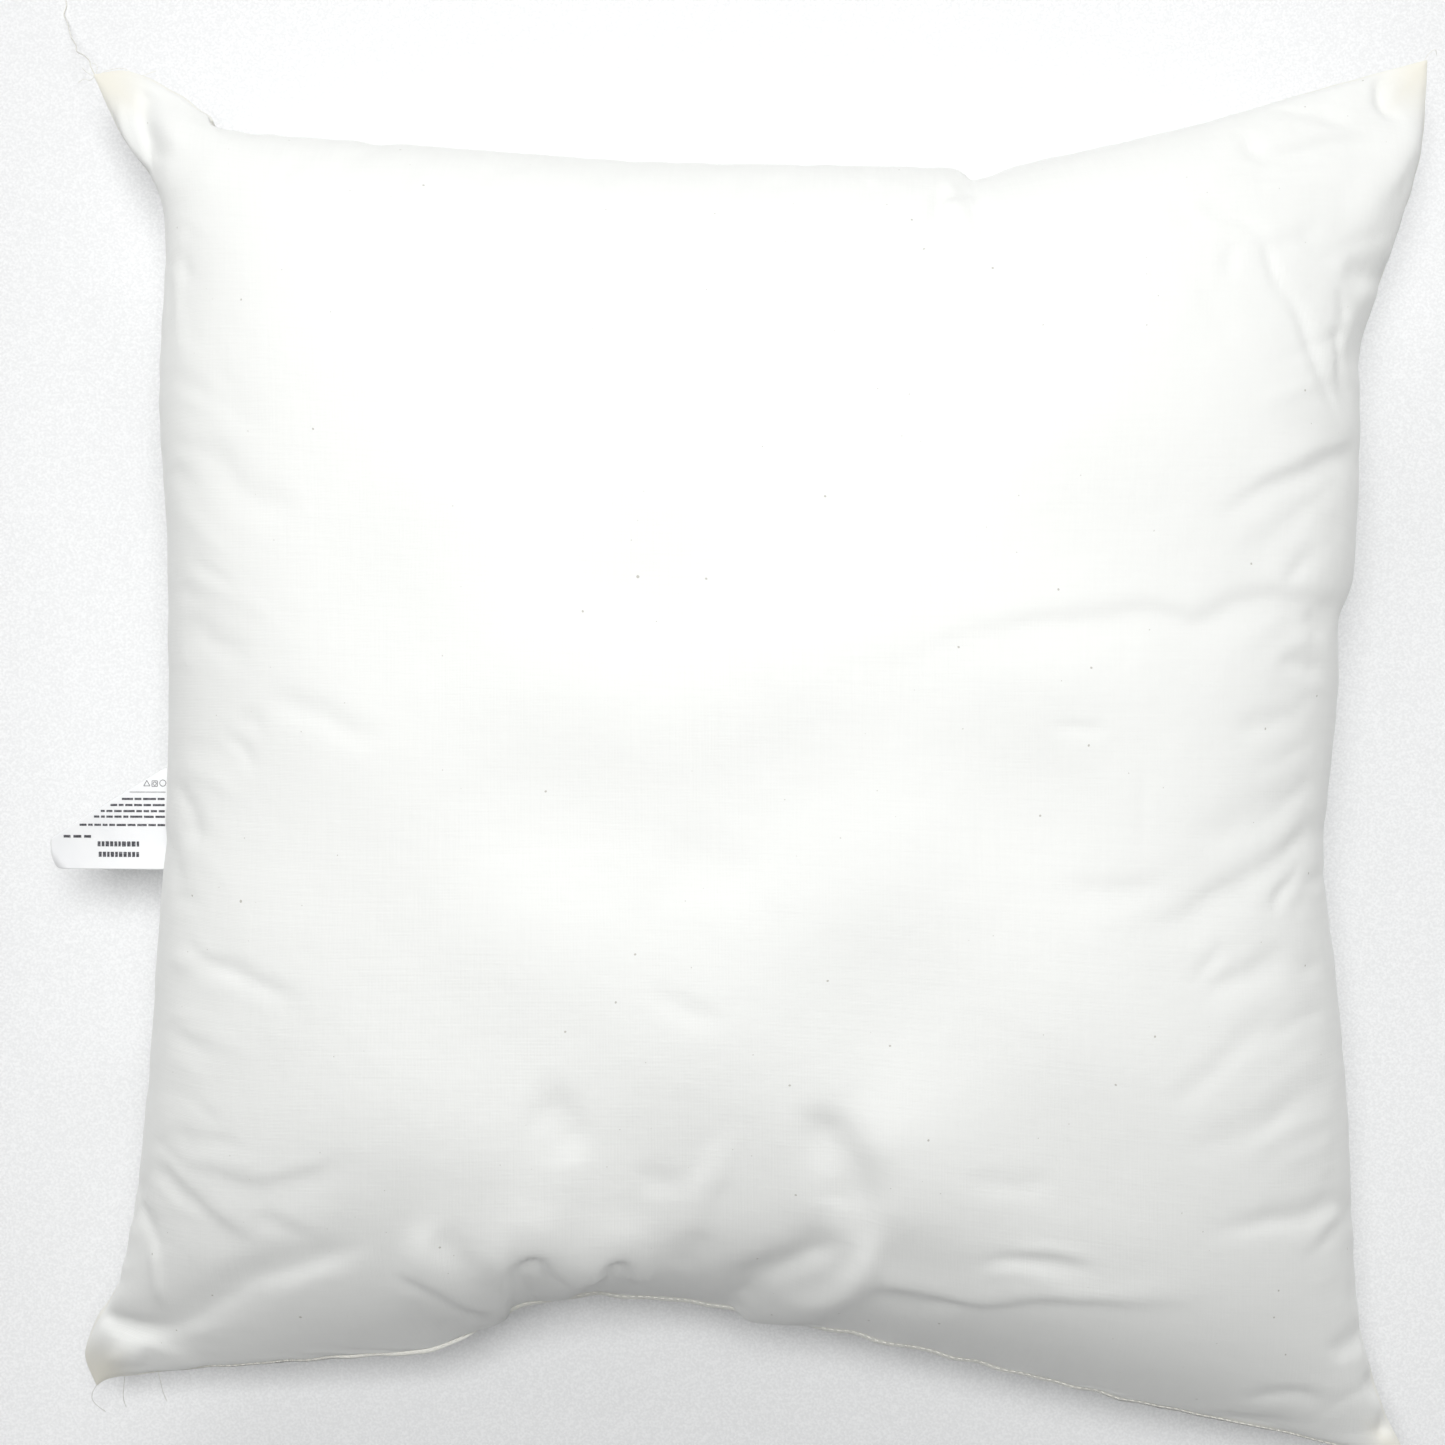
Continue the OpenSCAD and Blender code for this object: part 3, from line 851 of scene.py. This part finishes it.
def folded(flat, lift=0.0):
    """Where points of the flat ribbon lie: folded double, one corner tucked under, drooping.

    flat holds the distance out of the seam, up to twice the label's length, and the place across.
    """
    p = np.c_[-flat[:, 0], flat[:, 1], np.full(len(flat), lift)]
    p = bend(p, np.array([-LABEL_LEN + 0.4 * MM, 0]), np.array([-1.0, 0]), 0.25 * MM, math.pi)
    along_crease = unit(CREASE_END - CREASE_START)
    across = np.array([along_crease[1], -along_crease[0]])
    across = across if across @ np.array([-1, 1]) > 0 else -across
    p = bend(p, CREASE_START, across, 0.7 * MM, math.pi)
    corner = np.array([-0.93 * LABEL_LEN, -0.37 * LABEL_W])
    p = bend(p, corner, unit(np.array([-1.0, -0.9])), 5 * MM, 1.2)
    bow = 0.9 * MM * np.sin(math.pi * np.clip(-p[:, 0] / LABEL_LEN, 0, 1))
    p[:, 2] += bow + 0.5 * MM * np.sin(p[:, 1] / LABEL_W * 5)
    c, s = math.cos(LABEL_DROOP), math.sin(LABEL_DROOP)
    x, z = p[:, 0] * c - p[:, 2] * s, p[:, 0] * s + p[:, 2] * c
    return LABEL_ROOT + np.stack([x, p[:, 1], z], -1)


def add_label():
    """The ribbon: a strip folded double out of the left seam."""
    long_cells, wide_cells = 204, 84
    a = np.linspace(-3 * MM, 2 * LABEL_LEN + 3 * MM, long_cells + 1)
    b = np.linspace(-LABEL_W / 2, LABEL_W / 2, wide_cells + 1)
    flat = flat_grid(a, b)
    facing_up = grid_quads(long_cells, wide_cells)[:, [0, 3, 2, 1]]
    obj = new_mesh("care_label_ribbon", folded(flat), facing_up)
    add_flat_places(obj, "ribbon", flat)
    solid = obj.modifiers.new("thickness", "SOLIDIFY")
    solid.thickness = RIBBON_T
    solid.offset = -1
    apply_modifiers(obj)
    return obj


def apply_modifiers(obj):
    """Makes what the object's modifiers give its own mesh."""
    graph = bpy.context.evaluated_depsgraph_get()
    mesh = bpy.data.meshes.new_from_object(obj.evaluated_get(graph))
    obj.modifiers.clear()
    old = obj.data
    obj.data = mesh
    bpy.data.meshes.remove(old)


def crease_limit(b):
    """How far out of the seam the ribbon's face reaches at place b across."""
    share = (LABEL_W / 2 - b) / (CREASE_START[1] - CREASE_END[1])
    return LABEL_LEN * min(1.0, share) - 1.2 * MM


def word_row(rng, *sizes):
    """A row of plain bars, like a line of words, as far as the ribbon's face goes.

    sizes, in millimetres: place across, bar height, start, end, shortest bar, longest bar, gap.
    """
    b, height, a, end, shortest, longest, gap = (size * MM for size in sizes)
    out = []
    limit = min(end, crease_limit(b + height / 2))
    while a + shortest < limit:
        width = min(rng.uniform(shortest, longest), limit - a)
        out.append((a, a + width, b - height / 2, b + height / 2))
        a += width + gap
    return out


def ring_strokes(a, b, radius, count, turn=0.0):
    """The bars of a regular outline round a, b in millimetres, as (from, to) points."""
    t = turn + 2 * math.pi * np.arange(count + 1) / count
    p = np.array([a * MM, b * MM]) + radius * MM * np.stack([np.cos(t), np.sin(t)], -1)
    return [(p[k], p[k + 1]) for k in range(count)]


def add_print():
    """Plain bars and simple outlines where a label has its lines of print."""
    rng = np.random.default_rng(8)
    bars = []
    for b in (7.9, 5.4, 2.9, 0.6, -2.8):
        bars += word_row(rng, b, 0.9, 1.5, 60, 1.6, 5.5, 0.7)
    bars.append((1 * MM, crease_limit(10.7 * MM), 10.6 * MM, 10.85 * MM))
    bars += word_row(rng, -7.6, 1.1, 33, 45, 2.2, 4, 1.2)
    for b in (-10.6, -14.9):
        bars += word_row(rng, b, 2.1, 12.5, 31, 1.0, 1.7, 0.45)
    strokes = ring_strokes(2.2, 14.4, 1.3, 14)
    strokes += ring_strokes(5.6, 14.2, 1.6, 4, math.pi / 4)
    strokes += ring_strokes(5.6, 14.2, 0.7, 10)
    strokes += ring_strokes(8.9, 14.0, 1.5, 3, math.pi / 2)
    verts, faces = [], []

    def add_quads(flat):
        """A strip of quads between the pairs of points in flat, just clear of the ribbon."""
        first = len(verts)
        verts.extend(folded(flat, INK_LIFT).tolist())
        for i in range(first, len(verts) - 2, 2):
            faces.append([i, i + 1, i + 3, i + 2])

    for a0, a1, b0, b1 in bars:
        a = np.linspace(a0, a1, max(2, int((a1 - a0) / MM) + 1))
        add_quads(flat_grid(a, [b0, b1]))
    for p, q in strokes:
        side = STROKE / 2 * unit(np.array([p[1] - q[1], q[0] - p[0]]))
        add_quads(np.array([p - side, p + side, q - side, q + side]))
    return new_mesh("care_label_print", verts, faces, False)


# ---- materials
class Look:
    """A material in the making, with short ways of adding to its nodes."""

    def __init__(self, name, uv=None):
        self.material = bpy.data.materials.new(name)
        self.material.use_nodes = True
        self.tree = self.material.node_tree
        if uv:
            self.place = self.node("UVMap", uv_map=uv).outputs["UV"]
        else:
            self.place = self.node("TexCoord").outputs["Object"]

    def node(self, kind, inputs=(), **settings):
        """A new node; inputs gives its inputs' values or the sockets that feed them."""
        made = self.tree.nodes.new("ShaderNode" + kind)
        for name, value in settings.items():
            setattr(made, name, value)
        self.feed(made, inputs)
        return made

    def feed(self, node, inputs):
        """Sets the node's inputs, or joins the sockets that feed them."""
        for key, value in dict(inputs).items():
            if isinstance(value, bpy.types.NodeSocket):
                self.tree.links.new(value, node.inputs[key])
            else:
                node.inputs[key].default_value = value

    def noise(self, scale, detail, roughness=0.5, place=None):
        inputs = {
            "Vector": place or self.place, "Scale": scale, "Detail": detail, "Roughness": roughness,
        }
        return self.node("TexNoise", inputs).outputs["Fac"]

    def wave(self, direction, scale, distortion=0.0):
        inputs = {"Vector": self.place, "Scale": scale, "Distortion": distortion}
        return self.node("TexWave", inputs, bands_direction=direction).outputs["Fac"]

    def maths(self, operation, *values):
        return self.node("Math", enumerate(values), operation=operation).outputs[0]

    def ramp(self, source, low, high):
        """source read through a smooth step from low to high, as 0 to 1."""
        inputs = {"Value": source, "From Min": low, "From Max": high}
        return self.node("MapRange", inputs, interpolation_type="SMOOTHSTEP").outputs["Result"]

    def mixed(self, share, one, two):
        """A colour between one and two by share; each is a colour or a socket."""
        return self.node("Mix", {"Factor": share, 6: one, 7: two}, data_type="RGBA").outputs[2]

    def relief(self, height, strength, distance, under=None):
        """The normals of a relief, over the normals under if there are any."""
        inputs = {"Height": height, "Strength": strength, "Distance": distance}
        if under:
            inputs["Normal"] = under
        return self.node("Bump", inputs).outputs["Normal"]

    def finish(self, inputs):
        """The finished material, with these inputs to its main shader."""
        self.feed(self.tree.nodes["Principled BSDF"], inputs)
        return self.material


def percale():
    """White cotton ticking: plain weave with slubs, faint greying, creamier raw edges."""
    look = Look("percale", "cloth")
    streaks = []
    for stretch in ((900.0, 28.0, 1), (28.0, 900.0, 1)):
        mapping = look.node("Mapping", {"Vector": look.place, "Scale": stretch})
        streaks.append(look.noise(1.0, 2.0, place=mapping.outputs["Vector"]))
    slubs = look.maths("ADD", *streaks)
    weave = look.maths("MULTIPLY", look.wave("X", 560.0), look.wave("Y", 560.0))
    threads = look.maths("MULTIPLY_ADD", weave, 0.4, slubs)
    crumples = look.relief(look.noise(60.0, 3.0), 1.0, 0.0004)
    patches = look.ramp(look.noise(7.0, 3.0, 0.6), 0.35, 0.75)
    cloth = look.mixed(patches, (0.872, 0.880, 0.860, 1), (0.848, 0.860, 0.838, 1))
    cloth = look.mixed(look.ramp(slubs, 0.7, 1.4), (0.853, 0.862, 0.842, 1), cloth)
    flecks = look.ramp(look.noise(420.0, 0.0), 0.87, 0.90)
    cloth = look.mixed(flecks, cloth, (0.55, 0.54, 0.5, 1))
    place = look.node("SeparateXYZ", {"Vector": look.place}).outputs
    off = [look.maths("SUBTRACT", place[axis], CUT / 2) for axis in ("X", "Y")]
    off = [look.maths("ABSOLUTE", distance) for distance in off]
    ears = look.ramp(look.maths("MINIMUM", *off), CUT / 2 - 0.035, CUT / 2 - 0.004)
    edges = look.ramp(look.maths("MAXIMUM", *off), CUT / 2 - 0.003, CUT / 2)
    cream = look.maths("MAXIMUM", ears, look.maths("MULTIPLY", edges, 0.45))
    return look.finish({
        "Base Color": look.mixed(cream, cloth, (0.85, 0.83, 0.74, 1)),
        "Normal": look.relief(threads, 0.35, 0.00018, crumples),
        "Roughness": 0.88,
        "Specular IOR Level": 0.25,
        "Sheen Weight": 0.18,
        "Sheen Roughness": 0.45,
    })


def fibre():
    """White polyester fibre: matt and lumpy, with painted shade in the hollows between its lumps.
    """
    look = Look("fibre")
    lumps = look.noise(60.0, 8.0, 0.7)
    share = look.ramp(lumps, 0.3, 0.7)
    return look.finish({
        # The base colour darkens where the lumps' relief is low: painted shade in the hollows.
        "Base Color": look.mixed(share, (0.82, 0.82, 0.81, 1), (0.9, 0.9, 0.89, 1)),
        "Normal": look.relief(lumps, 0.6, 0.002),
        "Roughness": 0.95,
    })


def sewing_thread():
    """Off-white spun thread with its twist, and painted shade in the twist's grooves."""
    look = Look("sewing_thread")
    twist = look.wave("DIAGONAL", 900.0, 1.5)
    return look.finish({
        # The base colour darkens where the twist's relief is low: painted shade in its grooves.
        "Base Color": look.mixed(twist, (0.70, 0.69, 0.63, 1), (0.90, 0.89, 0.84, 1)),
        "Normal": look.relief(twist, 0.5, 0.0001),
        "Roughness": 0.7,
    })


def ribbon():
    """White satin ribbon: a fine rib across, and a soft sheen along it."""
    look = Look("label_ribbon", "ribbon")
    share = look.ramp(look.noise(60.0, 2.0), 0.3, 0.7)
    return look.finish({
        "Base Color": look.mixed(share, (0.90, 0.905, 0.91, 1), (0.86, 0.87, 0.88, 1)),
        "Normal": look.relief(look.wave("X", 700.0, 0.3), 0.25, 0.00008),
        "Roughness": 0.42,
        "Anisotropic": 0.5,
        "Sheen Weight": 0.2,
    })


def ink():
    """Thin grey-black printing ink, a little worn."""
    look = Look("label_ink")
    share = look.ramp(look.noise(1500.0, 2.0), 0.45, 0.75)
    return look.finish({
        "Base Color": look.mixed(share, (0.05, 0.05, 0.06, 1), (0.25, 0.25, 0.27, 1)),
        "Roughness": 0.6,
    })


def floor_paint():
    """Pale matt surface with a fine glitter."""
    look = Look("pale_surface")
    share = look.ramp(look.noise(900.0, 2.0, 0.6), 0.35, 0.7)
    return look.finish({
        "Base Color": look.mixed(share, (0.805, 0.811, 0.816, 1), (0.895, 0.901, 0.905, 1)),
        "Roughness": 0.7,
        "Specular IOR Level": 0.2,
    })


# ---- stage
def add_floor():
    half, z = 9.0, -0.3 * MM
    corners = [(-half, -half, z), (half, -half, z), (half, half, z), (-half, half, z)]
    floor = new_mesh("resting_surface", corners, [(0, 1, 2, 3)], False)
    floor.data.materials.append(floor_paint())


# Name, place, size and power of each soft light; all aim at the pillow
LIGHTS = [
    ("ceiling", (-0.05, 0.3, 2.2), (0.8, 0.6), 36.5),
    ("window", (-0.2, 3.2, 2.0), (2.0, 1.2), 50),
    ("fill_left", (-2.6, 0, 0.9), (1.2, 1.2), 8),
    ("fill_right", (2.6, 0, 0.9), (1.2, 1.2), 8),
]
AIM = Vector((0, 0, 0.1))
ROOM_LIGHT = 0.07


def add_lights():
    for name, place, size, power in LIGHTS:
        data = bpy.data.lights.new(name, "AREA")
        data.shape = "RECTANGLE"
        data.size, data.size_y = size
        data.energy = power
        lamp = add_object(name, data)
        lamp.location = place
        lamp.rotation_euler = (AIM - Vector(place)).to_track_quat("-Z", "Y").to_euler()
    world = bpy.data.worlds.new("room")
    bpy.context.scene.world = world
    world.use_nodes = True
    background = world.node_tree.nodes["Background"].inputs
    background["Color"].default_value = (1, 1, 1, 1)
    background["Strength"].default_value = ROOM_LIGHT
    bpy.context.scene.view_settings.view_transform = "Standard"


# ---- the pillow
def dress(piece, look, node=None):
    """Gives a piece of the pillow its material, hangs it on the pillow's body and hides the CAD
    node that it stands for.
    """
    piece.data.materials.append(look)
    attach(piece, "pillow")
    if node:
        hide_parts(node)


add_camera()
tail = add_tail()
thread_look = sewing_thread()
dress(tail, thread_look)

ticking_look = percale()
top_grid = add_folds(cloth_panel(True))
bottom_grid = cloth_panel(False)
for name, grid, top, node in (
    ("ticking_top", top_grid, True, "top_panel"),
    ("ticking_bottom", bottom_grid, False, "bottom_panel"),
):
    panel = panel_mesh(name, grid, top)
    dress(panel, ticking_look, node)

fill = fill_mesh("polyester_fill", top_grid, bottom_grid, 3 * MM)
dress(fill, fibre(), "fibre_fill")

# The seams' stitches, in the groove between the two rolled edges
STITCH_R = 0.22 * MM
PITCH = 3.2 * MM
ring = (top_grid.reshape(-1, 3)[edge_ring(GRID)] + bottom_grid.reshape(-1, 3)[edge_ring(GRID)]) / 2
out = outwards(ring)
ear_cells = GRID // 24
for side, name in ((1, "right"), (2, "head"), (3, "left")):
    part = np.arange(side * GRID + ear_cells, (side + 1) * GRID - ear_cells)
    line = ring[part] + out[part] * 0.12 * MM
    lines = stitches(line, PITCH, 2.3 * MM, 0.5 * MM, out[part])
    seam = tubes(f"seam_stitches_{name}", lines, STITCH_R)
    dress(seam, thread_look, f"seam_thread_{name}")

# The topstitch along the closing lip, on both of its faces
part = np.arange(ear_cells, GRID - ear_cells)
lip, sink = (values[part] for values in closing_lip(GRID))
step = lip * 1.3 * MM
lines = []
for face in (1, -1):
    up = np.tile([0, 0, float(face)], (len(part), 1))
    line = ring[part] + out[part] * step + up * 0.85 * MM - [0, 0, 1.0] * step * sink * lip
    lines += stitches(line, PITCH, 2.4 * MM, 0.35 * MM, up)
topstitch = tubes("closing_topstitch", lines, STITCH_R)
dress(topstitch, thread_look, "closing_seam_thread")

# Short frayed ends at the ears' tips, in millimetres
FRAYS = [
    [
        (-274, 280.5, 65), (-270, 283, 64), (-266, 285, 60), (-263, 285, 59), (-258, 282, 59),
        (-250, 284, 60),
    ],
    [(-274.5, 280.5, 65), (-277, 279, 64), (-280, 280, 62), (-283, 279, 60)],
    [(-274.5, 280.5, 65), (-274, 285, 64), (-277, 287, 61)],
    [(-274.8, 280.3, 64.5), (-279, 283, 61), (-282, 286, 57)],
    [(279, 283, 80), (281, 286, 80), (284, 288, 79), (285, 286, 77)],
    [(-276, -271, 54), (-281, -278, 44), (-283, -285, 32), (-281, -292, 20)],
    [(-263, -265, 61), (-266, -273, 50), (-270, -282, 34), (-272, -290, 20)],
    [(-248, -262, 67), (-249, -269, 57), (-251, -277, 43), (-252, -285, 30)],
]
fibres = [along(np.array(fray) * MM, np.linspace(0, 1, 16)) for fray in FRAYS]
frays = tubes("frayed_ends", fibres, 0.12 * MM, 5)
dress(frays, thread_look)

label = add_label()
label.data.materials.append(ribbon())
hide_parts("care_label")
label_print = add_print()
label_print.data.materials.append(ink())
for piece in (label, label_print):
    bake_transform(piece)

add_floor()
add_lights()
